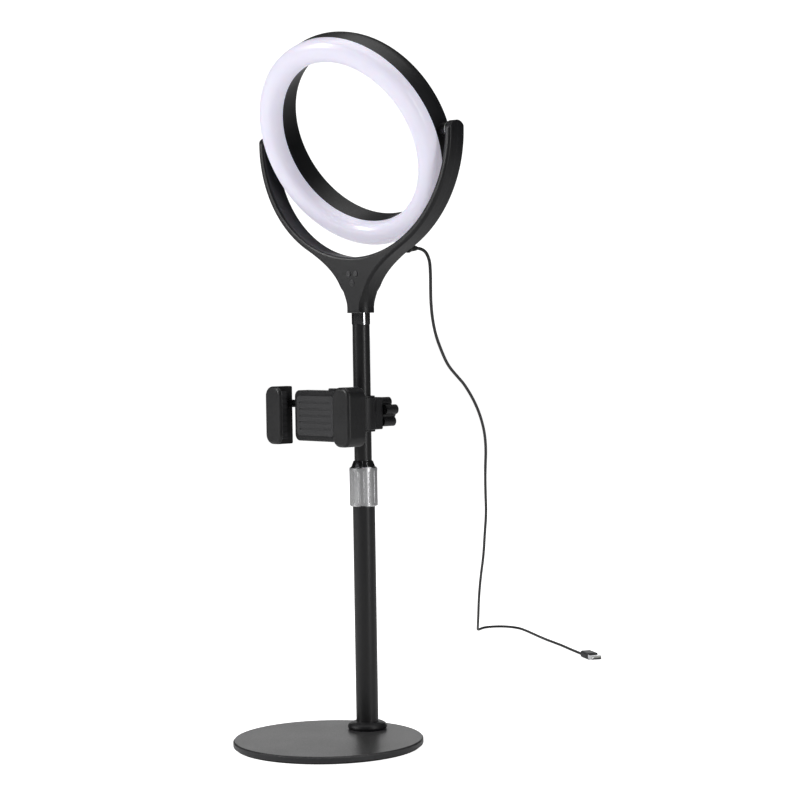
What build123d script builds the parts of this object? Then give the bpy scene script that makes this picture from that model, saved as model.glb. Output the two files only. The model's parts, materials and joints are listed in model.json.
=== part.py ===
from build123d import *
import math
import os

# Desk ring light: weighted disc, telescopic mast, tilting lamp head in a yoke, and a
# clamp-on handset holder.  Millimetres.  +Z is up and the lamp faces -Y.  The origin is
# the centre of the disc's underside, on the surface that the lamp stands on.

# ---- driving dimensions -------------------------------------------------------------
BASE_R = 86.0              # weighted disc
PAD_T = 1.5                # rubber pad under it
BASE_T = 7.0               # pad and disc together
MAST_Y = 54.0              # the mast stands behind the disc's centre

LOWER_R, LOWER_BORE = 10.25, 9.0
LOWER_TOP = 232.0
UPPER_R, UPPER_BORE = 8.0, 7.0
UPPER_BOTTOM = 140.0
COLLAR_R = 12.9
COLLAR_Z = (213.0, 249.2)  # locking collar
CAP_TOP = 254.8            # bright cone on the collar
FERRULE_R = 8.6
FERRULE_Z = (380.0, 390.5)

PIVOT_Z = 551.0            # tilt axis of the lamp head
TILT = 25.7                # the lamp looks down by this angle at rest
YOKE_RO, YOKE_RI = 116.5, 109.5
YOKE_HALF = 10.5           # half the yoke's depth, and the radius of its rounded ends
YOKE_WALL = 1.6
TIP_DROP = 3.4             # the arms' round ends are centred this far below the pivot
YOKE_EDGE = 2.6            # rounding of its outer edges
NECK_SOLID_TOP = 411.5     # the neck is solid round the mast up to here
NECK_HALF = 12.4           # the neck is round where it meets the mast
NECK_ROUND = [(12.4, 396.0), (12.8, 400.0), (14.1, 405.0), (15.6, 410.0), (19.5, 416.0),
              (26.0, 422.5), (38.0, 431.0), (60.0, 440.0)]
FLARE_END_X = 57.0         # the neck's flare runs into the U's outer curve here

HEAD_RO, HEAD_RI = 100.0, 79.0       # front edge of the housing
BACK_RO, BACK_RI = 95.7, 82.2        # its narrower back
HEAD_FRONT, HEAD_BACK = -9.9, 14.3   # along the lamp's own axis, from the tilt axis
LENS_SKIRT, LENS_DOME = 5.5, 8.0
HEAD_WALL = 1.8
LED_COUNT = 60

HOLDER_Z = 298.0           # height of the handset holder
HOLDER_TURN = -8.0         # it is turned this much about the mast
BALL_Y, BALL_R = -28.0, 7.0
GRIP_HALF = 41.0           # half the gap between the jaws' pads
JAW_OUT = 59.0
JAW_HALF_H = 26.5
RACK_MODULE, PINION_TEETH = 1.0, 12
SCREW_R = 3.0

CORD_R = 1.5
CORD_ROUTE = [
    (48, 76.5, 448.5), (48, 87.5, 448.5), (46.5, 98, 439.5), (38.5, 109, 425.5),
    (26, 124, 411), (14, 139, 398), (1, 157, 383), (-10.5, 176, 367.5), (-20.5, 197, 352),
    (-33, 222, 338), (-41, 246, 327), (-48, 268, 317), (-61, 303, 295),
    (-77, 335, 271), (-96, 363, 248), (-117, 388, 222), (-138, 415, 195), (-159, 443, 168),
    (-181, 468, 142), (-204, 495, 114), (-229, 521, 85), (-254, 549, 55), (-277, 577, 29),
    (-300, 605, 10), (-322, 633, 1.6), (-332, 658, 1.6), (-318, 678, 1.6), (-293, 678, 1.6),
    (-268, 662, 1.6), (-238, 640, 1.6), (-204, 616, 1.6), (-167, 593, 1.6), (-134, 569, 1.6),
    (-104, 549, 1.6)]

PIN_FIT = 0.06             # radial clearance of a pin that turns in its bore
SLIP = 0.3                 # gap between parts that move past each other

os.makedirs("parts", exist_ok=True)


# ---- helpers --------------------------------------------------------------------------
def save(name, shape):
    if isinstance(shape, (list, ShapeList)):
        shape = Compound(list(shape))
    shape.label = name
    export_step(shape, f"parts/{name}.step")


def rod_z(r, z0, z1, x=0.0, y=0.0):
    return Pos(x, y, (z0 + z1) / 2) * Cylinder(r, z1 - z0)


def rod_y(r, y0, y1, x=0.0, z=0.0):
    return Pos(x, (y0 + y1) / 2, z) * Rot(90, 0, 0) * Cylinder(r, y1 - y0)


def rod_x(r, x0, x1, y=0.0, z=0.0):
    return Pos((x0 + x1) / 2, y, z) * Rot(0, 90, 0) * Cylinder(r, x1 - x0)


def sleeve_z(ro, ri, z0, z1, x=0.0, y=0.0):
    return rod_z(ro, z0, z1, x, y) - rod_z(ri, z0 - 1, z1 + 1, x, y)


def sleeve_y(ro, ri, y0, y1, x=0.0, z=0.0):
    return rod_y(ro, y0, y1, x, z) - rod_y(ri, y0 - 1, y1 + 1, x, z)


def block(x0, x1, y0, y1, z0, z1):
    return Pos((x0 + x1) / 2, (y0 + y1) / 2, (z0 + z1) / 2) * Box(x1 - x0, y1 - y0, z1 - z0)


def rounded_slab(half_w, half_h, corner, y0, y1, x=0.0, z=0.0):
    """A plate with rounded corners that faces along Y."""
    outline = Rot(90, 0, 0) * RectangleRounded(2 * half_w, 2 * half_h, corner)
    return Pos(x, y1, z) * extrude(outline, y1 - y0, dir=(0, -1, 0))


def turned(points):
    """Solid of revolution from an outline of (radius, height) points."""
    return revolve(Plane.XZ * make_face(Polyline(*points, close=True)), Axis.Z)


def on_mast(shape):
    return Pos(0, MAST_Y, 0) * shape


def edges_at(shape, axis, value, tol=0.05):
    return shape.edges().filter_by(lambda e: abs(getattr(e.center(), axis) - value) < tol)


# ---- base and lower mast ----------------------------------------------------------------
PLATE_HOLE_R, WELL_R, WELL_TOP = 4.3, 9.5, 4.4


def base_pad():
    pad = rod_z(BASE_R - 2.0, 0, PAD_T) - rod_z(WELL_R + 1.0, -1, PAD_T + 1, 0, MAST_Y)
    return chamfer(edges_at(pad, "Z", 0.0), 0.4)


def base_plate():
    plate = rod_z(BASE_R, PAD_T, BASE_T)
    plate = chamfer(edges_at(plate, "Z", BASE_T), 1.2)
    plate = fillet(edges_at(plate, "Z", PAD_T), 0.8)
    plate -= rod_z(WELL_R, PAD_T - 1, WELL_TOP, 0, MAST_Y)
    return plate - rod_z(PLATE_HOLE_R, 0, BASE_T + 1, 0, MAST_Y)


def foot_screw():
    head = extrude(RegularPolygon(6.5, 6), 2.2)
    return on_mast(Pos(0, 0, 1.4) * head + rod_z(4.0, 3.5, 24.0))


def foot_washer():
    return on_mast(sleeve_z(8.6, 4.2, 3.6, WELL_TOP))


def foot_insert():
    plug = rod_z(LOWER_BORE, BASE_T, 26.0) - rod_z(4.0, 0, 30.0)
    return on_mast(plug)


def foot_flange():
    ring = turned([(LOWER_R, BASE_T), (16.8, BASE_T), (17.9, 8.2), (18.1, 9.6), (17.6, 11.2),
                   (16.2, 12.6), (14.0, 13.6), (LOWER_R, 14.2)])
    return on_mast(ring)


def lower_tube():
    tube = sleeve_z(LOWER_R, LOWER_BORE, BASE_T, LOWER_TOP)
    return on_mast(chamfer(edges_at(tube, "Z", LOWER_TOP), 0.3))


# ---- locking collar ------------------------------------------------------------------------
def locking_collar():
    z0, z1 = COLLAR_Z
    collar = rod_z(COLLAR_R, z0, z1)
    collar = chamfer(edges_at(collar, "Z", z0) + edges_at(collar, "Z", z1), 1.0)
    flutes = 16
    for i in range(flutes):
        flute = rod_z(1.6, z0 + 3.5, z1 - 3.5, COLLAR_R + 1.05, 0)
        collar -= Rot(0, 0, 360 / flutes * i) * flute
    collar -= rod_z(LOWER_R + 0.1, z0 - 1, LOWER_TOP + SLIP)
    collar -= rod_z(9.7, LOWER_TOP, z1 + 1)
    return on_mast(collar)


def collar_cap():
    z = COLLAR_Z[1]
    cone = turned([(8.35, z), (11.2, z), (9.0, CAP_TOP), (8.35, CAP_TOP)])
    return on_mast(cone)


def split_collet():
    """Nylon bush that grips the upper tube when the collar is tightened."""
    collet = sleeve_z(LOWER_BORE - 0.08, UPPER_R + PIN_FIT, 214.0, LOWER_TOP + 0.1)
    collet += sleeve_z(9.35, UPPER_R + PIN_FIT, LOWER_TOP + 0.1, COLLAR_Z[1] - 1.5)
    for i in range(4):
        collet -= Rot(0, 0, 90 * i + 45) * block(5, 12, -0.5, 0.5, 226.0, COLLAR_Z[1])
    return on_mast(collet)


# ---- upper mast ------------------------------------------------------------------------------
def upper_tube():
    tube = sleeve_z(UPPER_R, UPPER_BORE, UPPER_BOTTOM, 405.0)
    return on_mast(chamfer(edges_at(tube, "Z", UPPER_BOTTOM), 0.3))


def guide_bush():
    bush = sleeve_z(LOWER_BORE - 0.08, UPPER_BORE - 1.6, UPPER_BOTTOM - 10.0, UPPER_BOTTOM)
    bush += sleeve_z(UPPER_BORE, UPPER_BORE - 1.6, UPPER_BOTTOM - 0.5, UPPER_BOTTOM + 12.0)
    return on_mast(bush)


def neck_ferrule():
    return on_mast(sleeve_z(FERRULE_R, UPPER_R, *FERRULE_Z))


# ---- yoke -----------------------------------------------------------------------------------
NECK_BOTTOM = FERRULE_Z[1]


def yoke_outline(inset=0.0, start=(NECK_HALF, NECK_BOTTOM + 6.5), lean=(0.02, 1.0), rise=23.0):
    """Front view of the yoke: a U that flares down into the neck.  XZ drawn as XY."""
    ro, ri = YOKE_RO - inset, YOKE_RI + inset
    top = PIVOT_Z + (YOKE_HALF + 2 if inset == 0 else 4.6)
    x_end = FLARE_END_X
    z_end = PIVOT_Z - math.sqrt(ro ** 2 - x_end ** 2)
    along = Vector(PIVOT_Z - z_end, x_end).normalized()
    first, last = Vector(*start), Vector(x_end, z_end)
    lines = [Bezier(first, first + Vector(*lean).normalized() * rise, last - along * 29.0, last),
             ThreePointArc((x_end, z_end), (ro * 0.8, PIVOT_Z - ro * 0.6), (ro, PIVOT_Z)),
             Line((ro, PIVOT_Z), (ro, top)), Line((ro, top), (ri, top)),
             Line((ri, top), (ri, PIVOT_Z)),
             ThreePointArc((ri, PIVOT_Z), (ri * 0.6, PIVOT_Z - ri * 0.8), (0, PIVOT_Z - ri))]
    foot = start
    if inset == 0:
        foot = (NECK_HALF, NECK_BOTTOM)
        lines.insert(0, Line(foot, start))
    lines.append(Line((0, PIVOT_Z - ri), (0, foot[1])))
    lines.append(Line((0, foot[1]), foot))
    return make_face(lines)


def yoke_slice(face, y0, y1):
    """The outline as a plate between two depths, measured from the mast axis."""
    return Pos(0, y1, 0) * extrude(Rot(90, 0, 0) * face, y1 - y0, dir=(0, -1, 0))


BUTTONS = {"power_button": (-5.0, 426.0), "colour_button": (3.5, 426.0),
           "dimmer_button": (-0.8, 417.8)}
NECK_SCREWS = [(-17.0, 426.5), (17.0, 426.5)]
ARM_SCREW_ANGLES = [30.0, 52.0]
PIN_R = 3.0
GLAND_X = 48.0
GLAND_Z = 448.5


def arm_screw_places():
    """Only the left arm has screws: the lamp's lead fills the right one."""
    mid = (YOKE_RO + YOKE_RI) / 2
    places = []
    for a in ARM_SCREW_ANGLES:
        c, s = math.cos(math.radians(a)), math.sin(math.radians(a))
        places.append((-mid * c, PIVOT_Z - mid * s))
    return places


def arm_envelope(depth):
    """Rounds the top end of each arm, a little wider than the arm is deep."""
    z = PIVOT_Z - TIP_DROP
    return block(-130, 130, -20, 20, 380, z + 1) + rod_x(depth + 0.5, -130, 130, 0, z)


def neck_envelope():
    """Trims the neck's corners so that it runs from a flat plate to a round socket."""
    sides = [(NECK_HALF, NECK_BOTTOM - 1)] + NECK_ROUND
    return turned([(0, NECK_BOTTOM - 1)] + sides + [(160, 440), (160, 600), (0, 600)])


def yoke_half(front):
    outer = yoke_outline()
    hollow = yoke_outline(YOKE_WALL, (12.6, NECK_SOLID_TOP), (0.3, 0.95), 12.0)
    if front:
        shell = yoke_slice(outer, -YOKE_HALF, 0)
        inside = yoke_slice(hollow, -YOKE_HALF + YOKE_WALL, 1)
    else:
        shell = yoke_slice(outer, 0, YOKE_HALF)
        inside = yoke_slice(hollow, -1, YOKE_HALF - YOKE_WALL)
    rim = edges_at(shell, "Y", -YOKE_HALF if front else YOKE_HALF)
    shell = fillet(rim.filter_by(lambda e: e.center().X > 0.01), YOKE_EDGE)
    shell &= arm_envelope(YOKE_HALF)
    shell &= neck_envelope()
    shell -= inside & arm_envelope(YOKE_HALF - YOKE_WALL)
    shell += mirror(shell, Plane.YZ)
    shell -= rod_z(UPPER_R, 380, 405.0)
    shell -= rod_x(PIN_R + PIN_FIT, YOKE_RI - 1, YOKE_RI + 4, 0, PIVOT_Z)
    shell -= rod_x(PIN_R + PIN_FIT, -YOKE_RI - 4, -YOKE_RI + 1, 0, PIVOT_Z)
    if front:
        shell += [rod_y(3.2, -YOKE_HALF + 1, 0, x, z) for x, z in NECK_SCREWS]
        shell -= [rod_y(1.1, -7.5, 1, x, z) for x, z in NECK_SCREWS]
        shell -= [rod_y(2.9, -12, -8, x, z) for x, z in BUTTONS.values()]
        shell += [rod_y(2.1, -YOKE_HALF + 1, 0, x, z) for x, z in arm_screw_places()]
        shell -= [rod_y(0.9, -7.5, 1, x, z) for x, z in arm_screw_places()]
    else:
        shell += [rod_y(3.2, 0, YOKE_HALF - 1, x, z) for x, z in NECK_SCREWS]
        shell -= [rod_y(1.5, -1, 9, x, z) + rod_y(2.6, 7.5, 12, x, z) for x, z in NECK_SCREWS]
        shell += [rod_y(2.1, 0, YOKE_HALF - 1, x, z) for x, z in arm_screw_places()]
        shell -= [rod_y(1.1, -1, 9, x, z) + rod_y(2.0, 8.9, 12, x, z)
                  for x, z in arm_screw_places()]
        shell -= rod_y(3.0, 7, 12, GLAND_X, GLAND_Z)
    return on_mast(shell)


def yoke_screws():
    screws = []
    for x, z in NECK_SCREWS:
        screws.append(rod_y(1.1, -7.0, 8.0, x, z) + rod_y(2.4, 7.5, 9.3, x, z))
    for x, z in arm_screw_places():
        screws.append(rod_y(0.9, -7.0, 9.2, x, z) + rod_y(1.8, 8.9, 10.1, x, z))
    return [on_mast(s) for s in screws]


def control_board():
    board = block(-11.0, 11.0, -4.6, -3.2, 413.5, 432.0)
    return on_mast(board)


def tact_switches():
    return [on_mast(block(x - 2.2, x + 2.2, -6.1, -4.6, z - 2.2, z + 2.2)
                    + rod_y(1.1, -6.5, -6.0, x, z)) for x, z in BUTTONS.values()]


def button_cap(x, z):
    cap = rod_y(2.8, -11.1, -8.0, x, z)
    cap = fillet(edges_at(cap, "Y", -11.1), 0.5)
    return on_mast(cap + rod_y(3.5, -8.6, -7.5, x, z))


def ring_lead():
    """Two-core lead from the board up the right arm to the hollow pivot pin."""
    mid = (YOKE_RO + YOKE_RI) / 2
    a0, a1 = math.radians(-81), math.radians(-4)
    am = (a0 + a1) / 2
    at = [(mid * math.cos(a), 5.0, PIVOT_Z + mid * math.sin(a)) for a in (a0, am, a1)]
    path = ThreePointArc(*at)
    lead = sweep(Plane(path @ 0, z_dir=path % 0) * Circle(0.9), path)
    return on_mast(lead)


# ---- lamp head --------------------------------------------------------------------------------
def on_head(shape):
    """From the lamp's own frame (axis on Y, facing -Y) to its place at rest."""
    return Pos(0, MAST_Y, PIVOT_Z) * Rot(TILT, 0, 0) * shape


def spun(edges):
    """Revolve an outline drawn as (radius, y) about the lamp's axis."""
    return revolve(make_face(edges), Axis.Y)


def housing_profile():
    ro, ri, bo, bi = HEAD_RO, HEAD_RI, BACK_RO, BACK_RI
    f, b = HEAD_FRONT, HEAD_BACK
    outer = [Line((ro, f), (ro, 0)), Spline((ro, 0), (99.0, 7.5), (bo + 1.2, b - 1.6), (bo, b),
                                            tangents=[(0, 1), (-1, 0.7)])]
    inner = [Line((bi, b), (bi - 0.9, b - 1.0)), Line((bi - 0.9, b - 1.0), (ri, f))]
    return [Line((ri, f), (ro, f))] + outer + [Line((bo, b), (bi, b))] + inner


BOSS_COUNT = 6


def head_screw_angles():
    return [60.0 * i + 30.0 for i in range(BOSS_COUNT)]


def at_angle(shape, degrees):
    return Rot(0, degrees, 0) * shape


MID_R = (HEAD_RO + HEAD_RI) / 2
PIN_TIP = 113.6


def ring_housing():
    w = HEAD_WALL
    shell = spun(housing_profile())
    channel = spun(Polyline((HEAD_RI + w, HEAD_FRONT - 1), (HEAD_RO - w, HEAD_FRONT - 1),
                            (HEAD_RO - w, 1), (BACK_RO - 0.6, HEAD_BACK - w),
                            (BACK_RI + 1.2, HEAD_BACK - w), close=True).edges())
    shell -= channel
    for a in head_screw_angles():
        shell += at_angle(rod_y(3.4, 5.0, HEAD_BACK - w + 0.2, MID_R), a)
    for a in head_screw_angles():
        shell -= at_angle(rod_y(2.6, HEAD_BACK - 2.6, HEAD_BACK + 1, MID_R), a)
        shell -= at_angle(rod_y(1.4, 4.0, HEAD_BACK, MID_R), a)
    for side in (-1, 1):
        boss = rod_x(6.0, *sorted((side * (HEAD_RO - 1.5), side * 106.4)))
        bore = rod_x(PIN_R, *sorted((side * 90.0, side * 110.0)))
        shell = shell + boss - bore
    return on_head(shell)


def lens_profile(inset, y0):
    """Half section of the lens: straight skirts and a rounded crown between them."""
    y1 = HEAD_FRONT - LENS_SKIRT
    ro, ri = HEAD_RO - inset, HEAD_RI + inset
    rise = LENS_DOME - inset
    crest = (MID_R, y1 - rise)
    reach = 0.72 * (ro - MID_R)
    shoulder = y1 - rise * 0.74
    return [Line((ri, y0), (ro, y0)), Line((ro, y0), (ro, y1)),
            Spline((ro, y1), (MID_R + reach, shoulder), crest, tangents=[(0, -1), (-1, 0)]),
            Spline(crest, (MID_R - reach, shoulder), (ri, y1), tangents=[(-1, 0), (0, 1)]),
            Line((ri, y1), (ri, y0))]


def diffuser():
    lens = spun(lens_profile(0.0, HEAD_FRONT)) - spun(lens_profile(1.6, HEAD_FRONT + 1.0))
    out_r, in_r = HEAD_RO - HEAD_WALL, HEAD_RI + HEAD_WALL
    seam = HEAD_FRONT
    lip_out = sleeve_y(out_r - 0.05, out_r - 1.4, seam, seam + 4)
    lip_out += sleeve_y(out_r + 0.4, out_r - 1.4, seam - 1.5, seam)
    lip_in = sleeve_y(in_r + 2.1, in_r + 0.7, seam, seam + 4)
    lip_in += sleeve_y(in_r + 2.1, in_r - 0.4, seam - 1.5, seam)
    return on_head(lens + lip_out + lip_in)


def led_board():
    board = sleeve_y(97.0, 83.0, 3.2, 4.8)
    for a in head_screw_angles():
        board -= at_angle(rod_y(1.5, 2, 6, MID_R), a)
    return on_head(board)


def leds():
    lamps = []
    for i in range(LED_COUNT):
        lamp = block(MID_R - 2.8, MID_R + 2.8, 2.4, 3.2, -1.4, 1.4)
        lamps.append(on_head(at_angle(lamp, 360 / LED_COUNT * (i + 0.5))))
    return lamps


def housing_screws():
    screws = []
    for a in head_screw_angles():
        screw = rod_y(1.3, 2.2, HEAD_BACK - 2.0, MID_R)
        screw += rod_y(2.4, HEAD_BACK - 2.6, HEAD_BACK - 0.8, MID_R)
        screws.append(on_head(at_angle(screw, a)))
    return screws


def pivot_pin(side):
    """Hollow pin, fast in the lamp's boss, turning in the yoke arm's bore."""
    def span(a, b):
        return sorted((side * a, side * b))
    pin = rod_x(PIN_R, *span(97.0, PIN_TIP - 0.4)) + rod_x(4.3, *span(YOKE_RI + 2.0, PIN_TIP - 0.4))
    pin -= rod_x(1.6, *span(96.0, 115.0))
    return on_head(pin)


def friction_washer(side):
    ring = rod_x(6.6, *sorted((side * 106.4, side * (YOKE_RI - 0.5))))
    return on_head(ring - rod_x(PIN_R, *sorted((side * 105.0, side * 111.0))))


# ---- cord ---------------------------------------------------------------------------------
def cord_gland():
    y0 = MAST_Y + YOKE_HALF
    tip = CORD_ROUTE[0][1]
    body = Pos(GLAND_X, 0, GLAND_Z) * Rot(-90, 0, 0) * turned(
        [(0, y0 - 1.9), (2.95, y0 - 1.9), (2.95, y0), (4.4, y0), (4.4, y0 + 2.0), (3.6, y0 + 3.0),
         (2.3, tip), (0, tip)])
    for i in range(3):
        y = y0 + 4.4 + 2.4 * i
        body -= sleeve_y(5.0, 2.95 - 0.34 * i, y, y + 1.1, GLAND_X, GLAND_Z)
    return body


def corner_radii(points):
    radii = []
    for a, b, c in zip(points, points[1:], points[2:]):
        before, after = Vector(b) - Vector(a), Vector(c) - Vector(b)
        turn = math.radians(before.get_angle(after))
        radii.append(0.45 * min(before.length, after.length) / math.tan(turn / 2))
    return radii


def usb_cord():
    radii = corner_radii(CORD_ROUTE)
    path = FilletPolyline(*CORD_ROUTE, radius=radii)
    tube = sweep(Plane(path @ 0, z_dir=path % 0) * Circle(CORD_R), path)
    print("cord radii:", [round(r) for r in radii])
    print("cord length %.0f mm, volume / (section x length) %.4f"
          % (path.length, tube.volume / (math.pi * CORD_R ** 2 * path.length)))
    return tube


def at_plug(shape):
    """Plug parts are drawn along +X from the cord's end."""
    end, before = CORD_ROUTE[-1], CORD_ROUTE[-2]
    heading = math.degrees(math.atan2(end[1] - before[1], end[0] - before[0]))
    return Pos(*end) * Rot(0, 0, heading) * shape


PLUG_LIFT = 2.3            # the plug is thicker than the cord, so its middle is higher


def plug_body():
    grip = Pos(17.0, 0, PLUG_LIFT) * Box(20.0, 13.0, 7.6)
    grip = fillet(grip.edges().filter_by(Axis.X), 2.2)
    neck = Pos(3.5, 0, 0) * Rot(0, 90, 0) * Cone(1.9, 3.0, 7.0)
    lift = block(2.0, 8.0, -2.6, 2.6, -1.4, 4.4)
    return at_plug(grip + (neck & block(0, 8, -4, 4, -1.5, 5)) + lift)


def plug_shell():
    shell = Pos(33.0, 0, PLUG_LIFT) * Box(12.0, 12.0, 4.5)
    shell -= Pos(33.6, 0, PLUG_LIFT) * Box(12.0, 11.4, 3.9)
    return at_plug(shell)


def plug_tongue():
    return at_plug(Pos(33.05, 0, PLUG_LIFT + 0.9) * Box(10.8, 11.2, 1.9))


# ---- handset holder: clamp --------------------------------------------------------------
def on_holder(shape):
    """Holder frame: mast axis at its origin, front towards -Y."""
    return Pos(0, MAST_Y, HOLDER_Z) * Rot(0, 0, HOLDER_TURN) * shape


CLAMP_HALF = 14.8
LINER_R = 9.4
BLOCK_BACK = 17.5
KNOB_Y = (18.4, 32.4)
RIM_BACK, CAP_BACK = 34.2, 37.4


def clamp_liner():
    liner = sleeve_z(LINER_R, UPPER_R + PIN_FIT, -15.1, 15.1)
    for z0, z1 in ((-16.4, -15.1), (15.1, 16.4)):
        liner += sleeve_z(11.6, UPPER_R + PIN_FIT, z0, z1)
    return on_holder(liner)


def clamp_body():
    body = block(-9.5, 9.5, 0, BLOCK_BACK, -CLAMP_HALF, CLAMP_HALF)
    body = fillet(body.edges().filter_by(Axis.Z), 2.0)
    body += rod_z(13.0, -CLAMP_HALF, CLAMP_HALF)
    rim = edges_at(body, "Z", CLAMP_HALF) + edges_at(body, "Z", -CLAMP_HALF)
    body = chamfer(rim, 0.8)
    body += rod_y(9.2, BALL_Y + 1.0, -9.0)
    body -= rod_z(LINER_R + SLIP, -20, 20)
    body -= block(-5.6, 5.6, 8, 14.7, -6.1, 6.1)
    body -= rod_y(SCREW_R + PIN_FIT, 14, 20)
    body -= block(-6.5, 6.5, 11.2, 14.2, CLAMP_HALF - 4.0, CLAMP_HALF + 1)
    body -= Pos(0, BALL_Y, 0) * Sphere(BALL_R + 0.15)
    return on_holder(body)


def pressure_shoe():
    shoe = block(-5.3, 5.3, 7.5, 13.5, -5.8, 5.8) - rod_z(LINER_R + SLIP, -8, 8)
    return on_holder(shoe)


def clamp_screw():
    return on_holder(rod_y(SCREW_R, 13.6, RIM_BACK + 0.6))


def clamp_knob():
    lobes, reach = 5, 9.8
    y0, y1 = KNOB_Y
    knob = rod_y(8.6, y0, y1)
    for i in range(lobes):
        a = math.radians(360 / lobes * i + 90)
        knob += rod_y(4.6, y0, y1, reach * math.cos(a), reach * math.sin(a))
    knob += rod_y(7.6, y1, RIM_BACK)
    return on_holder(knob - rod_y(SCREW_R, 15, 45))


def knob_cap():
    cap = rod_y(5.6, RIM_BACK, CAP_BACK) - rod_y(SCREW_R, RIM_BACK - 1, RIM_BACK + 0.6)
    cap = chamfer(edges_at(cap, "Y", CAP_BACK), 0.9)
    socket = Pos(0, CAP_BACK + 1, 0) * Rot(90, 0, 0) * extrude(RegularPolygon(2.6, 6), 2.6)
    return on_holder(cap - socket)


# ---- handset holder: ball joint --------------------------------------------------------------
def ball_nut():
    nut = rod_y(12.0, BALL_Y - 4.5, BALL_Y + 8.0)
    nut = chamfer(edges_at(nut, "Y", BALL_Y - 4.5) + edges_at(nut, "Y", BALL_Y + 8.0), 0.8)
    for i in range(14):
        a = math.radians(360 / 14 * i)
        nut -= rod_y(1.0, BALL_Y - 2.5, BALL_Y + 6.0, 12.3 * math.cos(a), 12.3 * math.sin(a))
    nut -= rod_y(9.35, BALL_Y + 0.7, BALL_Y + 9)
    nut -= Pos(0, BALL_Y, 0) * Sphere(BALL_R + SLIP)
    return on_holder(nut)


STEM_R = 3.0


def ball_stud():
    stud = Pos(0, BALL_Y, 0) * Sphere(BALL_R) + rod_y(STEM_R, -45.0, BALL_Y)
    return on_holder(stud + rod_y(7.0, -46.3, -44.3))


# ---- handset holder: body and jaws -------------------------------------------------------------
BODY_W, BODY_H = 31.0, 23.0
BODY_BACK, BODY_SPLIT, BODY_FRONT = -42.0, -48.6, -55.0
RACK_Z = RACK_MODULE * PINION_TEETH / 2
ARM_Z = (RACK_Z + 1.3, 14.0)
ARM_Y = (-52.6, -47.6)


def arm_slots():
    gap = SLIP
    left = block(-40, -20, ARM_Y[0] - gap, ARM_Y[1] + gap, ARM_Z[0] - gap, ARM_Z[1] + gap)
    right = block(20, 40, ARM_Y[0] - gap, ARM_Y[1] + gap, -ARM_Z[1] - gap, -ARM_Z[0] + gap)
    return left + right


HOLDER_SCREWS = [(-25.5, 18.5), (25.5, 18.5), (-25.5, -18.5), (25.5, -18.5)]
RELEASE_X = 17.0


def holder_back():
    shell = rounded_slab(BODY_W, BODY_H, 6.0, BODY_SPLIT, BODY_BACK)
    shell = fillet(edges_at(shell, "Y", BODY_BACK), 1.5)
    shell -= rounded_slab(BODY_W - 2, BODY_H - 2, 4.0, BODY_SPLIT - 1, BODY_BACK - 2.0)
    shell += [rod_y(3.0, BODY_SPLIT, BODY_BACK - 1, x, z) for x, z in HOLDER_SCREWS]
    shell -= [rod_y(1.4, -60, -40, x, z) + rod_y(2.4, -43.6, -40, x, z) for x, z in HOLDER_SCREWS]
    shell -= rod_y(STEM_R + PIN_FIT, -50, -40)
    shell -= arm_slots()
    shell -= block(RELEASE_X - 4.3, RELEASE_X + 4.3, -51.5, -46.5, 18, 26)
    return on_holder(shell)


def holder_front():
    shell = rounded_slab(BODY_W, BODY_H, 6.0, BODY_FRONT, BODY_SPLIT)
    shell = fillet(edges_at(shell, "Y", BODY_FRONT), 1.2)
    shell -= rounded_slab(BODY_W - 2, BODY_H - 2, 4.0, BODY_FRONT + 1.8, BODY_SPLIT + 1)
    shell += [rod_y(3.0, BODY_FRONT + 1, BODY_SPLIT, x, z) for x, z in HOLDER_SCREWS]
    shell -= [rod_y(1.1, -53.0, -40, x, z) for x, z in HOLDER_SCREWS]
    shell -= arm_slots()
    shell -= block(RELEASE_X - 4.3, RELEASE_X + 4.3, -51.5, -46.5, 18, 26)
    return on_holder(shell)


def holder_screws():
    return [on_holder(rod_y(1.1, -52.8, -43.0, x, z) + rod_y(2.2, -43.6, -42.4, x, z))
            for x, z in HOLDER_SCREWS]


def holder_pad():
    pad = rounded_slab(26.0, 18.0, 4.0, BODY_FRONT - 1.5, BODY_FRONT)
    for i in range(5):
        z = -12.0 + 6.0 * i
        pad -= block(-22, 22, BODY_FRONT - 2.0, BODY_FRONT - 1.0, z - 0.8, z + 0.8)
    return on_holder(pad)


def pinion_pin():
    return on_holder(rod_y(1.5, BODY_FRONT + 1.8, -47.2))


def pinion():
    """Twelve-tooth gear that makes the two jaws move together."""
    gear = rod_y(4.75, -52.4, -47.8)
    for i in range(PINION_TEETH):
        tooth = make_face(Polyline((-1.0, 4.5), (1.0, 4.5), (0.58, RACK_Z), (0.32, 6.85),
                                   (-0.32, 6.85), (-0.58, RACK_Z), close=True))
        solid = Pos(0, -47.8, 0) * extrude(Rot(90, 0, 0) * tooth, 4.6, dir=(0, -1, 0))
        gear += Rot(0, 360 / PINION_TEETH * i, 0) * solid
    return on_holder(gear - rod_y(1.5 + PIN_FIT, -60, -40))


def rack_teeth():
    """Teeth of the left jaw's rack, pointing down at the pinion."""
    pitch = math.pi * RACK_MODULE
    root = ARM_Z[0] + 0.2
    teeth = []
    for k in range(-5, 3):
        x = (k + 0.5) * pitch
        tooth = make_face(Polyline((x - 0.95, root), (x + 0.95, root), (x + 0.58, RACK_Z),
                                   (x + 0.32, RACK_Z - 0.85), (x - 0.32, RACK_Z - 0.85),
                                   (x - 0.58, RACK_Z), close=True))
        teeth.append(Pos(0, ARM_Y[1], 0) * extrude(Rot(90, 0, 0) * tooth, ARM_Y[1] - ARM_Y[0],
                                                   dir=(0, -1, 0)))
    return teeth


JAW_FRONT, JAW_BACK = -67.5, -47.0
LIP_IN = 36.0
LIP_T = 2.3
WALL_IN = GRIP_HALF + 3.0


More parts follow.
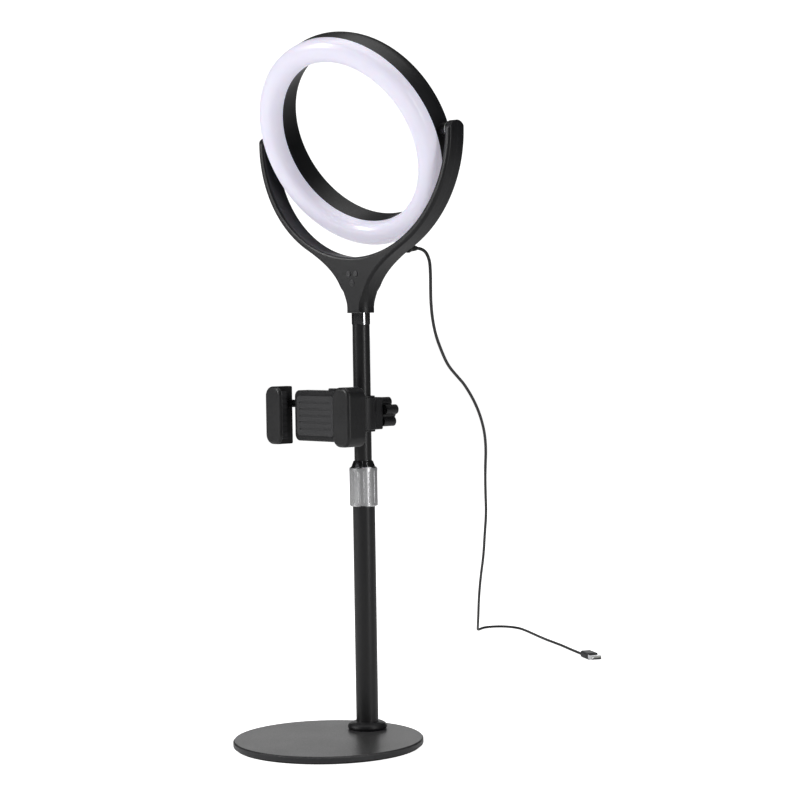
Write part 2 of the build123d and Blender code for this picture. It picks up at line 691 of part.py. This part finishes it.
def jaw():
    """Left jaw; the right one is the same part turned over."""
    mid = (JAW_OUT + LIP_IN) / 2
    body = rounded_slab((JAW_OUT - LIP_IN) / 2, JAW_HALF_H, 9.0, JAW_FRONT, JAW_BACK, -mid)
    body = fillet(edges_at(body, "Y", JAW_FRONT), 3.0)
    body = fillet(edges_at(body, "Y", JAW_BACK), 1.5)
    body -= block(-WALL_IN, -LIP_IN + 1, JAW_FRONT + LIP_T, JAW_BACK + 1, -30, 30)
    pocket = rounded_slab(5.4, JAW_HALF_H - 2.4, 3.0, JAW_FRONT + 3.0, JAW_BACK + 1, -51.4)
    body -= pocket - block(-60, -40, -60, -40, -16, 16)
    body += block(-WALL_IN - 1.5, 16.0, ARM_Y[0], ARM_Y[1], *ARM_Z)
    for tooth in rack_teeth():
        body += tooth
    return body


def jaw_pad():
    pad = block(-WALL_IN, -GRIP_HALF, JAW_FRONT + LIP_T, BODY_FRONT - 0.8, -22, 22)
    pad += block(-WALL_IN, -LIP_IN - 0.4, JAW_FRONT + LIP_T, JAW_FRONT + LIP_T + 0.5, -22, 22)
    for i in range(9):
        z = -20.0 + 5.0 * i
        pad -= block(-GRIP_HALF - 0.6, -GRIP_HALF + 1, -63.5, -55, z - 0.7, z + 0.7)
    return pad


def release_button():
    cap = block(RELEASE_X - 4.0, RELEASE_X + 4.0, -51.2, -46.8, 19.2, 25.0)
    cap = fillet(edges_at(cap, "Z", 25.0), 0.7)
    foot = block(RELEASE_X - 5.2, RELEASE_X + 5.2, -51.2, -46.8, 19.0, 20.7)
    return on_holder(cap + foot)


def release_latch():
    """Leaf under the button that holds the left jaw's rack."""
    leaf = block(-19.0, 19.0, -50.4, -47.9, 14.6, 15.4)
    root = block(-19.0, -16.0, -50.4, -47.9, 14.6, BODY_H - 2.0)
    return on_holder(leaf + root + block(16.0, 18.0, -50.4, -47.9, 15.0, 17.2))


# ---- write every node ----------------------------------------------------------------------
def main():
    save("base_pad", base_pad())
    save("base_plate", base_plate())
    save("foot_screw", foot_screw())
    save("foot_washer", foot_washer())
    save("foot_insert", foot_insert())
    save("foot_flange", foot_flange())
    save("lower_tube", lower_tube())
    save("locking_collar", locking_collar())
    save("collar_cap", collar_cap())
    save("split_collet", split_collet())
    save("upper_tube", upper_tube())
    save("guide_bush", guide_bush())
    save("neck_ferrule", neck_ferrule())

    save("yoke_front_shell", yoke_half(True))
    save("yoke_rear_shell", yoke_half(False))
    save("yoke_screws", yoke_screws())
    save("control_board", control_board())
    save("tact_switches", tact_switches())
    for name, (x, z) in BUTTONS.items():
        save(name, button_cap(x, z))
    save("ring_lead", ring_lead())

    save("ring_housing", ring_housing())
    save("diffuser", diffuser())
    save("led_board", led_board())
    save("leds", leds())
    save("housing_screws", housing_screws())
    for side, hand in ((-1, "left"), (1, "right")):
        save(f"pivot_pin_{hand}", pivot_pin(side))
        save(f"friction_washer_{hand}", friction_washer(side))

    save("cord_gland", cord_gland())
    save("usb_cord", usb_cord())
    save("plug_body", plug_body())
    save("plug_shell", plug_shell())
    save("plug_tongue", plug_tongue())

    save("clamp_liner", clamp_liner())
    save("clamp_body", clamp_body())
    save("pressure_shoe", pressure_shoe())
    save("clamp_screw", clamp_screw())
    save("clamp_knob", clamp_knob())
    save("knob_cap", knob_cap())
    save("ball_nut", ball_nut())
    save("ball_stud", ball_stud())
    save("holder_back", holder_back())
    save("holder_front", holder_front())
    save("holder_screws", holder_screws())
    save("holder_pad", holder_pad())
    save("pinion_pin", pinion_pin())
    save("pinion", pinion())
    save("jaw_left", on_holder(jaw()))
    save("jaw_right", on_holder(Rot(0, 180, 0) * jaw()))
    save("jaw_pad_left", on_holder(jaw_pad()))
    save("jaw_pad_right", on_holder(Rot(0, 180, 0) * jaw_pad()))
    save("release_button", release_button())
    save("release_latch", release_latch())


main()
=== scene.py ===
import bpy
import json
import math
from mathutils import Matrix, Vector


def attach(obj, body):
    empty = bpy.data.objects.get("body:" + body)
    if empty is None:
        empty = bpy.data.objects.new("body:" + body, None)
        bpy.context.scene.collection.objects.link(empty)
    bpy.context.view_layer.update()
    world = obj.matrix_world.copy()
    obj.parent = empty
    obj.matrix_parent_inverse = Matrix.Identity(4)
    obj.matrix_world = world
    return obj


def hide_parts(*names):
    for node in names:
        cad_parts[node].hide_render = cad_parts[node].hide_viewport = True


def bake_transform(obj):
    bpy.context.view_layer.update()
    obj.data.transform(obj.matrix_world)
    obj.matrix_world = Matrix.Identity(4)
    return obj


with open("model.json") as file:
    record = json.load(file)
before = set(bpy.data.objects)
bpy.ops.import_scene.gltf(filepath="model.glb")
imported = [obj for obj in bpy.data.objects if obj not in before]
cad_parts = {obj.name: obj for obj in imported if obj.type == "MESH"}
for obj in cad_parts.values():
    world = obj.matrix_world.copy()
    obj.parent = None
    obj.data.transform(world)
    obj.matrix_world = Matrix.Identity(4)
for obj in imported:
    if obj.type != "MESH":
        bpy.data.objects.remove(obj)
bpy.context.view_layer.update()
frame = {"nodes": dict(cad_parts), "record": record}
NODES = frame["nodes"]
MM = 0.001

# The lamp's own layout, in metres: the same driving sizes as the solids.
MAST_Y = 0.054
PIVOT = Vector((0.0, MAST_Y, 0.551))
TILT = math.radians(25.7)
HEAD_RO, HEAD_RI = 0.100, 0.079
HEAD_FRONT, LENS_SKIRT, LENS_DOME = -0.0099, 0.0055, 0.008
BUTTONS = {"power_button": (-5.0, 426.0), "colour_button": (3.5, 426.0),
           "dimmer_button": (-0.8, 417.8)}
BUTTON_FACE_Y = MAST_Y - 11.1 * MM
LENS_WALL = 1.6 * MM
LENS_SEGMENTS = 240
CORD_RADIUS = 1.5 * MM
CORD_SIDES = 16
CORD_ROUTE = [
    (48, 76.5, 448.5), (48, 87.5, 448.5), (46.5, 98, 439.5), (38.5, 109, 425.5),
    (26, 124, 411), (14, 139, 398), (1, 157, 383), (-10.5, 176, 367.5), (-20.5, 197, 352),
    (-33, 222, 338), (-41, 246, 327), (-48, 268, 317), (-61, 303, 295),
    (-77, 335, 271), (-96, 363, 248), (-117, 388, 222), (-138, 415, 195), (-159, 443, 168),
    (-181, 468, 142), (-204, 495, 114), (-229, 521, 85), (-254, 549, 55), (-277, 577, 29),
    (-300, 605, 10), (-322, 633, 1.6), (-332, 658, 1.6), (-318, 678, 1.6), (-293, 678, 1.6),
    (-268, 662, 1.6), (-238, 640, 1.6), (-204, 616, 1.6), (-167, 593, 1.6), (-134, 569, 1.6),
    (-104, 549, 1.6)]


# ---- camera -----------------------------------------------------------------------------
CAMERA_AIM = Vector((0.0454, MAST_Y, 0.311))
CAMERA_DISTANCE = 1.9
CAMERA_ANGLES = (40.06, 2.0, -0.90)  # round, up and roll, in degrees
CAMERA_LENS = 94.45


def make_camera():
    az, el, roll = [math.radians(a) for a in CAMERA_ANGLES]
    right = Vector((math.cos(az), math.sin(az), 0))
    back = Vector((math.sin(az) * math.cos(el), -math.cos(az) * math.cos(el), math.sin(el)))
    up = back.cross(right)
    x = right * math.cos(roll) + up * math.sin(roll)
    y = up * math.cos(roll) - right * math.sin(roll)
    data = bpy.data.cameras.new("camera")
    data.sensor_width = 36.0
    data.lens = CAMERA_LENS
    data.clip_start, data.clip_end = 0.05, 100.0
    cam = bpy.data.objects.new("camera", data)
    bpy.context.scene.collection.objects.link(cam)
    place = CAMERA_AIM + back * CAMERA_DISTANCE
    rows = [(x[i], y[i], back[i], place[i]) for i in range(3)]
    cam.matrix_world = Matrix(rows + [(0, 0, 0, 1)])
    bpy.context.scene.camera = cam


# ---- mesh helpers -------------------------------------------------------------------------
def add_mesh(name, verts, faces, material, body):
    mesh = bpy.data.meshes.new(name)
    mesh.from_pydata([tuple(v) for v in verts], [], faces)
    mesh.validate()
    mesh.update()
    mesh.polygons.foreach_set("use_smooth", [True] * len(mesh.polygons))
    mesh.materials.append(material)
    piece = bpy.data.objects.new(name, mesh)
    bpy.context.scene.collection.objects.link(piece)
    if body:
        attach(piece, body)
    return piece


def crease(piece, degrees=35.0):
    """Splits the shading at edges sharper than this angle."""
    mesh = piece.data
    limit = math.radians(degrees)
    faces_at = {}
    for poly in mesh.polygons:
        for key in poly.edge_keys:
            faces_at.setdefault(key, []).append(poly.normal)
    sharp = []
    for edge in mesh.edges:
        sides = faces_at.get(tuple(edge.key), [])
        sharp.append(len(sides) == 2 and sides[0].angle(sides[1], 0.0) > limit)
    mesh.edges.foreach_set("use_edge_sharp", sharp)


def lathe(profile, place, segments):
    """Closed ring of (radius, along) points turned about an axis; place(r, t, a) puts one."""
    verts, faces = [], []
    n = len(profile)
    for i in range(segments):
        a = 2 * math.pi * i / segments
        verts += [place(r, t, a) for r, t in profile]
    for i in range(segments):
        j = (i + 1) % segments
        for k in range(n):
            m = (k + 1) % n
            faces.append((i * n + k, i * n + m, j * n + m, j * n + k))
    return verts, faces


def in_head(x, y, z):
    """From the lamp's own frame, facing -Y, to its place at rest."""
    c, s = math.cos(TILT), math.sin(TILT)
    return PIVOT + Vector((x, y * c - z * s, y * s + z * c))


def tube_along(points, radius, sides):
    """Skin round a line of points, its ends closed."""
    verts, faces = [], []
    tangents = []
    for i in range(len(points)):
        a, b = points[max(i - 1, 0)], points[min(i + 1, len(points) - 1)]
        tangents.append((b - a).normalized())
    side = tangents[0].cross(Vector((0, 0, 1))).normalized()
    for p, t in zip(points, tangents):
        side = (side - t * side.dot(t)).normalized()
        other = t.cross(side)
        for k in range(sides):
            a = 2 * math.pi * k / sides
            verts.append(p + (side * math.cos(a) + other * math.sin(a)) * radius)
    for i in range(len(points) - 1):
        for k in range(sides):
            m = (k + 1) % sides
            faces.append((i * sides + k, i * sides + m, (i + 1) * sides + m, (i + 1) * sides + k))
    faces.append(tuple(range(sides))[::-1])
    last = (len(points) - 1) * sides
    faces.append(tuple(range(last, last + sides)))
    return verts, faces


# ---- shader helpers -----------------------------------------------------------------------
def put(tree, kind, **settings):
    made = tree.nodes.new(kind)
    for key, value in settings.items():
        if key in made.inputs:
            made.inputs[key].default_value = value
        else:
            setattr(made, key, value)
    return made


def remap(tree, value, **ends):
    """A socket's value, run between new ends: From_Min, From_Max, To_Min, To_Max."""
    settings = {key.replace("_", " "): end for key, end in ends.items()}
    ramp = put(tree, "ShaderNodeMapRange", **settings)
    tree.links.new(value, ramp.inputs["Value"])
    return ramp.outputs["Result"]


def multiply(tree, first, second):
    product = put(tree, "ShaderNodeMath", operation="MULTIPLY")
    tree.links.new(first, product.inputs[0])
    tree.links.new(second, product.inputs[1])
    return product.outputs[0]


def noise(tree, where, size, detail, rough):
    """Noise whose features have the size, in millimetres, that a socket gives."""
    scale = put(tree, "ShaderNodeMath", operation="DIVIDE")
    scale.inputs[0].default_value = 1 / MM
    tree.links.new(size, scale.inputs[1])
    made = put(tree, "ShaderNodeTexNoise", Detail=detail, Roughness=rough)
    tree.links.new(where, made.inputs["Vector"])
    tree.links.new(scale.outputs[0], made.inputs["Scale"])
    return made.outputs["Fac"]


def new_group(name, inputs, outputs):
    group = bpy.data.node_groups.new(name, "ShaderNodeTree")
    for label, default in inputs:
        kind = "NodeSocketVector" if isinstance(default, tuple) else "NodeSocketFloat"
        socket = group.interface.new_socket(label, in_out="INPUT", socket_type=kind)
        socket.default_value = default
    for label in outputs:
        group.interface.new_socket(label, in_out="OUTPUT", socket_type="NodeSocketFloat")
    return group, group.nodes.new("NodeGroupInput"), group.nodes.new("NodeGroupOutput")


def grain_group():
    """Grain of a moulded or coated skin: a fine texture with broad uneven patches."""
    group, given, out = new_group("skin_grain", [("Grain Size", 0.3), ("Patch Size", 25.0),
                                                 ("Stretch", (1.0, 1.0, 1.0))],
                                  ["Grain", "Patches"])
    coord = put(group, "ShaderNodeTexCoord")
    stretch = put(group, "ShaderNodeVectorMath", operation="MULTIPLY")
    group.links.new(coord.outputs["Object"], stretch.inputs[0])
    group.links.new(given.outputs["Stretch"], stretch.inputs[1])
    for size, result, detail in (("Grain Size", "Grain", 3.0), ("Patch Size", "Patches", 4.0)):
        texture = noise(group, stretch.outputs[0], given.outputs[size], detail, 0.55)
        group.links.new(texture, out.inputs[result])
    return group


def edge_wear_and_highlight_group():
    """Mask of the corners of a piece, broken up in patches: worn edges on most finishes, a painted
    edge highlight on the jaws and the base coat.
    """
    group, given, out = new_group("edge_wear_and_painted_highlight", [("Break-up Size", 4.0), ("Strength", 1.0)],
                                  ["Mask"])
    round_off = put(group, "ShaderNodeBevel", Radius=0.0006, samples=4)
    flat = put(group, "ShaderNodeNewGeometry")
    dot = put(group, "ShaderNodeVectorMath", operation="DOT_PRODUCT")
    group.links.new(round_off.outputs["Normal"], dot.inputs[0])
    group.links.new(flat.outputs["Normal"], dot.inputs[1])
    corner = remap(group, dot.outputs["Value"], From_Min=0.995, From_Max=0.86)
    coord = put(group, "ShaderNodeTexCoord")
    texture = noise(group, coord.outputs["Object"], given.outputs["Break-up Size"], 5.0, 0.6)
    broken = remap(group, texture, From_Min=0.35, From_Max=0.62)
    mask = multiply(group, multiply(group, corner, broken), given.outputs["Strength"])
    group.links.new(mask, out.inputs["Mask"])
    return group


def dust_group():
    """Fine dust that settles on the faces that look up."""
    group, given, out = new_group("settled_dust", [("Amount", 0.3)], ["Mask"])
    facing = put(group, "ShaderNodeNewGeometry")
    split = put(group, "ShaderNodeSeparateXYZ")
    group.links.new(facing.outputs["Normal"], split.inputs[0])
    upward = remap(group, split.outputs["Z"], From_Min=0.35)
    coord = put(group, "ShaderNodeTexCoord")
    specks = put(group, "ShaderNodeTexNoise", Scale=1400.0, Detail=2.0, Roughness=0.7)
    group.links.new(coord.outputs["Object"], specks.inputs["Vector"])
    seen = remap(group, specks.outputs["Fac"], From_Min=0.5, From_Max=0.75)
    mask = multiply(group, multiply(group, upward, seen), given.outputs["Amount"])
    group.links.new(mask, out.inputs["Mask"])
    return group


GRAIN, WEAR_AND_HIGHLIGHT, DUST = grain_group(), edge_wear_and_highlight_group(), dust_group()
DUST_COLOUR = (0.42, 0.41, 0.39, 1)


def use_group(tree, group, **values):
    made = tree.nodes.new("ShaderNodeGroup")
    made.node_tree = group
    for key, value in values.items():
        made.inputs[key.replace("_", " ")].default_value = value
    return made


# The Mix node's own sockets for its factor, two colours and result.
MIX_FACTOR, MIX_FIRST, MIX_SECOND, MIX_RESULT = 0, 6, 7, 2


def blend_colours(tree, first, second, mask):
    """first may be a colour or a socket; the mask is a socket."""
    mix = put(tree, "ShaderNodeMix", data_type="RGBA")
    if isinstance(first, tuple):
        mix.inputs[MIX_FIRST].default_value = first
    else:
        tree.links.new(first, mix.inputs[MIX_FIRST])
    mix.inputs[MIX_SECOND].default_value = second
    tree.links.new(mask, mix.inputs[MIX_FACTOR])
    return mix.outputs[MIX_RESULT]


def finish(name, dark, light, rough, grain=0.3, patch=25.0, stretch=(1.0, 1.0, 1.0), depth=0.02,
           wear_and_highlight=None, wear_and_highlight_strength=0.5, dust=0.15, **shader):
    """One finish: two close tones in patches, uneven roughness, a grain, lighter edges (wear, and
    on some finishes a painted edge highlight), dust.
    """
    material = bpy.data.materials.new(name)
    material.use_nodes = True
    tree = material.node_tree
    bsdf = tree.nodes["Principled BSDF"]
    for key, value in shader.items():
        bsdf.inputs[key.replace("_", " ")].default_value = value
    skin = use_group(tree, GRAIN, Grain_Size=grain, Patch_Size=patch, Stretch=stretch)
    colour = blend_colours(tree, (*dark, 1), (*light, 1), skin.outputs["Patches"])
    # Lighter edges: wear on most finishes, a painted highlight on the jaws and the base coat.
    if wear_and_highlight:
        edges = use_group(tree, WEAR_AND_HIGHLIGHT, Strength=wear_and_highlight_strength)
        colour = blend_colours(tree, colour, (*wear_and_highlight, 1), edges.outputs["Mask"])
    if dust:
        settled = use_group(tree, DUST, Amount=dust)
        colour = blend_colours(tree, colour, DUST_COLOUR, settled.outputs["Mask"])
    tree.links.new(colour, bsdf.inputs["Base Color"])
    roughness = remap(tree, skin.outputs["Patches"], To_Min=rough[0], To_Max=rough[1])
    tree.links.new(roughness, bsdf.inputs["Roughness"])
    bump = put(tree, "ShaderNodeBump", Strength=0.6, Distance=depth * MM)
    tree.links.new(skin.outputs["Grain"], bump.inputs["Height"])
    tree.links.new(bump.outputs["Normal"], bsdf.inputs["Normal"])
    return material


# ---- finishes -----------------------------------------------------------------------------
def make_finishes():
    worn = (0.10, 0.10, 0.105)
    return {
        "black_plastic": finish("satin_black_moulding", (0.010, 0.010, 0.011),
                                (0.018, 0.018, 0.020), (0.34, 0.50), wear_and_highlight=worn,
                                Specular_IOR_Level=0.4),
        "yoke": finish("yoke_moulding", (0.009, 0.009, 0.010), (0.015, 0.015, 0.017),
                       (0.30, 0.44), grain=0.25, wear_and_highlight=worn, Specular_IOR_Level=0.4),
        # The jaw's light edge colour is a painted highlight along its edges, standing in for light
        # caught by the rounded lips.
        "jaw": finish("jaw_moulding", (0.010, 0.010, 0.011), (0.018, 0.018, 0.019),
                      (0.34, 0.48), grain=0.35, depth=0.03, wear_and_highlight=(0.24, 0.24, 0.25),
                      wear_and_highlight_strength=0.9),
        # The powder coat's light edge colour is a painted rim highlight along the base's edges.
        "black_coat": finish("powder_coat", (0.026, 0.026, 0.028), (0.046, 0.046, 0.049),
                             (0.30, 0.40), grain=0.9, patch=40.0, depth=0.04,
                             wear_and_highlight=(0.22, 0.22, 0.23), wear_and_highlight_strength=0.8, dust=0.45,
                             Specular_IOR_Level=0.4),
        "black_tube": finish("satin_black_tube", (0.010, 0.010, 0.011), (0.018, 0.018, 0.019),
                             (0.26, 0.38), grain=0.5, patch=30.0, stretch=(1.0, 1.0, 0.12),
                             depth=0.01, wear_and_highlight=worn),
        "silver_paint": finish("satin_silver", (0.60, 0.60, 0.61), (0.74, 0.74, 0.75),
                               (0.20, 0.32), grain=0.3, patch=14.0, stretch=(1.0, 1.0, 0.08),
                               depth=0.015, wear_and_highlight=(0.85, 0.85, 0.85), Metallic=1.0),
        "chrome": finish("bright_plate", (0.78, 0.78, 0.80), (0.88, 0.88, 0.90), (0.05, 0.11),
                         grain=0.4, depth=0.004, dust=0.08, Metallic=1.0),
        "steel": finish("zinc_steel", (0.36, 0.36, 0.35), (0.52, 0.52, 0.50), (0.28, 0.45),
                        grain=0.4, depth=0.01, dust=0.1, Metallic=1.0),
        "rubber": finish("matt_rubber", (0.012, 0.012, 0.012), (0.024, 0.024, 0.024),
                         (0.62, 0.82), grain=0.5, depth=0.04, dust=0.3),
        "grey_rubber": finish("ribbed_rubber", (0.035, 0.035, 0.037), (0.055, 0.055, 0.058),
                              (0.60, 0.78), grain=0.5, depth=0.04, dust=0.25),
        "nylon": finish("natural_nylon", (0.60, 0.60, 0.55), (0.70, 0.70, 0.66), (0.36, 0.52),
                        grain=0.6, depth=0.015, Subsurface_Weight=0.1),
        "key_plastic": finish("key_cap", (0.020, 0.020, 0.022), (0.034, 0.034, 0.036),
                              (0.28, 0.40), grain=0.2, wear_and_highlight=(0.16, 0.16, 0.17)),
        "board": finish("solder_resist", (0.72, 0.72, 0.68), (0.84, 0.84, 0.80), (0.30, 0.42),
                        grain=1.2, depth=0.02),
        "led_yellow": finish("led_resin", (0.80, 0.62, 0.16), (0.90, 0.76, 0.28), (0.18, 0.30),
                             grain=0.4, depth=0.01),
        "cord_black": finish("cord_jacket", (0.008, 0.008, 0.008), (0.016, 0.016, 0.017),
                             (0.40, 0.55), grain=0.4, patch=12.0, depth=0.02, dust=0.2),
        # The lens's emission is a painted glow that brightens it, though the lamp is not switched
        # on.
        "white_lens": finish("frosted_lens_painted_glow", (0.74, 0.725, 0.85), (0.80, 0.785, 0.90),
                             (0.24, 0.34), grain=0.5, patch=45.0, depth=0.006, dust=0.03,
                             Subsurface_Weight=0.25, Subsurface_Scale=0.004,
                             Coat_Weight=0.3, Coat_Roughness=0.12,
                             Emission_Color=(0.76, 0.745, 0.86, 1), Emission_Strength=0.42),
    }


FINISH = make_finishes()
OWN_FINISH = {"yoke_front_shell": "yoke", "yoke_rear_shell": "yoke", "jaw_left": "jaw",
              "jaw_right": "jaw"}


def dress_solids():
    slots = {s["node"]: s["material_slot"] for s in frame["record"]["subparts"]}
    for name, piece in NODES.items():
        material = FINISH[OWN_FINISH.get(name, slots[name])]
        piece.data.materials.clear()
        piece.data.materials.append(material)


# ---- lens -----------------------------------------------------------------------------------
def lens_profile(inset, y0, steps=18):
    """Half section from the inner skirt over the crown to the outer skirt."""
    y1 = HEAD_FRONT - LENS_SKIRT
    ro, ri = HEAD_RO - inset, HEAD_RI + inset
    mid, rise = (HEAD_RO + HEAD_RI) / 2, LENS_DOME - inset
    points = [(ri, y0), (ri, y1)]
    for k in range(1, 2 * steps):
        u = -1 + k / steps
        points.append((mid + (ro - mid) * u, y1 - rise * (1 - abs(u) ** 2.4) ** 0.5))
    return points + [(ro, y1), (ro, y0)]


def make_lens():
    skin = lens_profile(0.0, HEAD_FRONT) + lens_profile(LENS_WALL, HEAD_FRONT)[::-1]
    verts, faces = lathe(skin, lambda r, t, a: in_head(r * math.cos(a), t, r * math.sin(a)),
                         LENS_SEGMENTS)
    lens = add_mesh("lens", verts, faces, FINISH["white_lens"], "head")
    crease(lens)
    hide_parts("diffuser")


# ---- cord -----------------------------------------------------------------------------------
def cord_line():
    """Points along the smooth line that the route controls."""
    data = bpy.data.curves.new("cord_line", "CURVE")
    data.dimensions = "3D"
    data.resolution_u = 12
    spline = data.splines.new("NURBS")
    spline.points.add(len(CORD_ROUTE) - 1)
    for point, (x, y, z) in zip(spline.points, CORD_ROUTE):
        point.co = (x * MM, y * MM, z * MM, 1)
    spline.order_u = 3
    spline.use_endpoint_u = True
    guide = bpy.data.objects.new("cord_line", data)
    bpy.context.scene.collection.objects.link(guide)
    bpy.context.view_layer.update()
    mesh = bpy.data.meshes.new_from_object(guide)
    points = [v.co.copy() for v in mesh.vertices]
    bpy.data.meshes.remove(mesh)
    bpy.data.objects.remove(guide)
    return points


def make_cord():
    points = cord_line()
    verts, faces = tube_along(points, CORD_RADIUS, CORD_SIDES)
    cord = add_mesh("power_cord", verts, faces, FINISH["cord_black"], None)
    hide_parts("usb_cord")
    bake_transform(cord)


# ---- button marks ---------------------------------------------------------------------------
def arc_bar(cx, cz, r, width, a0, a1, y, height, steps=24):
    """Raised stroke on a face that looks along -Y, bent round (cx, cz)."""
    verts, faces = [], []
    for k in range(steps + 1):
        a = a0 + (a1 - a0) * k / steps
        for rr in (r - width / 2, r + width / 2):
            for yy in (y, y - height):
                verts.append((cx + rr * math.cos(a), yy, cz + rr * math.sin(a)))
    for k in range(steps):
        i, j = 4 * k, 4 * k + 4
        for p, q in ((0, 1), (1, 3), (3, 2), (2, 0)):
            faces.append((i + p, i + q, j + q, j + p))
    faces += [(0, 2, 3, 1), (4 * steps, 4 * steps + 1, 4 * steps + 3, 4 * steps + 2)]
    return verts, faces


def straight_bar(x0, z0, x1, z1, width, y, height):
    dx, dz = x1 - x0, z1 - z0
    length = math.hypot(dx, dz)
    nx, nz = -dz / length * width / 2, dx / length * width / 2
    corners = [(x0 + nx, z0 + nz), (x1 + nx, z1 + nz), (x1 - nx, z1 - nz), (x0 - nx, z0 - nz)]
    verts = [(x, y, z) for x, z in corners] + [(x, y - height, z) for x, z in corners]
    faces = [(3, 2, 1, 0), (4, 5, 6, 7)] + [(k, (k + 1) % 4, (k + 1) % 4 + 4, k + 4)
                                            for k in range(4)]
    return verts, faces


MARK_SINK, MARK_HEIGHT, MARK_WIDTH, MARK_RADIUS = 0.05 * MM, 0.2 * MM, 0.35 * MM, 1.2 * MM


def make_button_marks():
    ink = finish("key_mark", (0.10, 0.10, 0.105), (0.16, 0.16, 0.165), (0.4, 0.55), depth=0.005)
    y, h, w, r = BUTTON_FACE_Y + MARK_SINK, MARK_HEIGHT, MARK_WIDTH, MARK_RADIUS
    bodies = {"power_button": "power_key", "colour_button": "colour_key",
              "dimmer_button": "dimmer_key"}
    for name, (cx, cz) in BUTTONS.items():
        x, z = cx * MM, cz * MM
        if name == "power_button":
            parts = [arc_bar(x, z, r, w, math.radians(125), math.radians(415), y, h),
                     straight_bar(x, z + 0.3 * MM, x, z + 1.6 * MM, w, y, h)]
        elif name == "colour_button":
            parts = [arc_bar(x, z, r, w, 0, math.radians(350), y, h),
                     straight_bar(x - 0.5 * MM, z, x + 0.5 * MM, z, w, y, h)]
        else:
            parts = [straight_bar(x - r, z + 0.7 * MM, x + r, z + 0.7 * MM, w, y, h),
                     straight_bar(x - 0.8 * MM, z - 0.7 * MM, x + 0.8 * MM, z - 0.7 * MM, w, y, h)]
        verts, faces = [], []
        for v, f in parts:
            faces += [tuple(i + len(verts) for i in face) for face in f]
            verts += v
        mark = add_mesh(name + "_mark", verts, faces, ink, bodies[name])
        crease(mark)


# ---- studio ---------------------------------------------------------------------------------
FLOOR_HALF, FLOOR_DROP = 60.0, 0.0003


def area_light(name, place, aim, size, power):
    data = bpy.data.lights.new(name, "AREA")
    data.shape, data.size, data.size_y = "RECTANGLE", size[0], size[1]
    data.energy = power
    light = bpy.data.objects.new(name, data)
    bpy.context.scene.collection.objects.link(light)
    light.visible_camera = False
    light.location = place
    light.rotation_euler = (Vector(aim) - Vector(place)).to_track_quat("-Z", "Y").to_euler()


def make_studio():
    pale = bpy.data.materials.new("pale_floor")
    pale.use_nodes = True
    bsdf = pale.node_tree.nodes["Principled BSDF"]
    bsdf.inputs["Base Color"].default_value = (0.93, 0.93, 0.93, 1)
    bsdf.inputs["Emission Color"].default_value = (1, 1, 1, 1)
    rays = put(pale.node_tree, "ShaderNodeLightPath")
    glow = remap(pale.node_tree, rays.outputs["Is Camera Ray"], To_Min=0.10, To_Max=1.0)
    pale.node_tree.links.new(glow, bsdf.inputs["Emission Strength"])
    bsdf.inputs["Roughness"].default_value = 0.9
    mesh = bpy.data.meshes.new("studio_floor")
    s, z = FLOOR_HALF, -FLOOR_DROP
    mesh.from_pydata([(-s, -s, z), (s, -s, z), (s, s, z), (-s, s, z)], [], [(0, 1, 2, 3)])
    mesh.materials.append(pale)
    floor = bpy.data.objects.new("studio_floor", mesh)
    bpy.context.scene.collection.objects.link(floor)

    world = bpy.data.worlds.new("studio_world")
    bpy.context.scene.world = world
    world.use_nodes = True
    tree = world.node_tree
    room = tree.nodes["Background"]
    height = put(tree, "ShaderNodeSeparateXYZ")
    where = put(tree, "ShaderNodeTexCoord")
    tree.links.new(where.outputs["Generated"], height.inputs[0])
    tone = remap(tree, height.outputs["Z"], From_Min=-0.1, From_Max=0.9, To_Min=0.07,
                 To_Max=0.30)
    tree.links.new(tone, room.inputs["Strength"])
    seen = put(tree, "ShaderNodeBackground", Color=(1, 1, 1, 1), Strength=1.2)
    rays = put(tree, "ShaderNodeLightPath")
    pick = put(tree, "ShaderNodeMixShader")
    tree.links.new(rays.outputs["Is Camera Ray"], pick.inputs[0])
    tree.links.new(room.outputs[0], pick.inputs[1])
    tree.links.new(seen.outputs[0], pick.inputs[2])
    tree.links.new(pick.outputs[0], tree.nodes["World Output"].inputs["Surface"])

    area_light("key_left", (-1.5, -1.9, 1.6), (0, 0, 0.4), (0.5, 1.8), 40)
    area_light("fill_right", (2.6, -0.2, 1.0), (0, 0, 0.4), (0.5, 1.8), 18)
    area_light("overhead", (0.0, 0.4, 3.0), (0, 0, 0), (2.5, 2.5), 26)
    area_light("behind", (-2.2, 2.7, 0.85), (0, 0, 0.1), (2.6, 1.2), 10)
    bpy.context.scene.view_settings.view_transform = "Standard"


make_camera()
make_cord()
dress_solids()
make_lens()
make_button_marks()
make_studio()
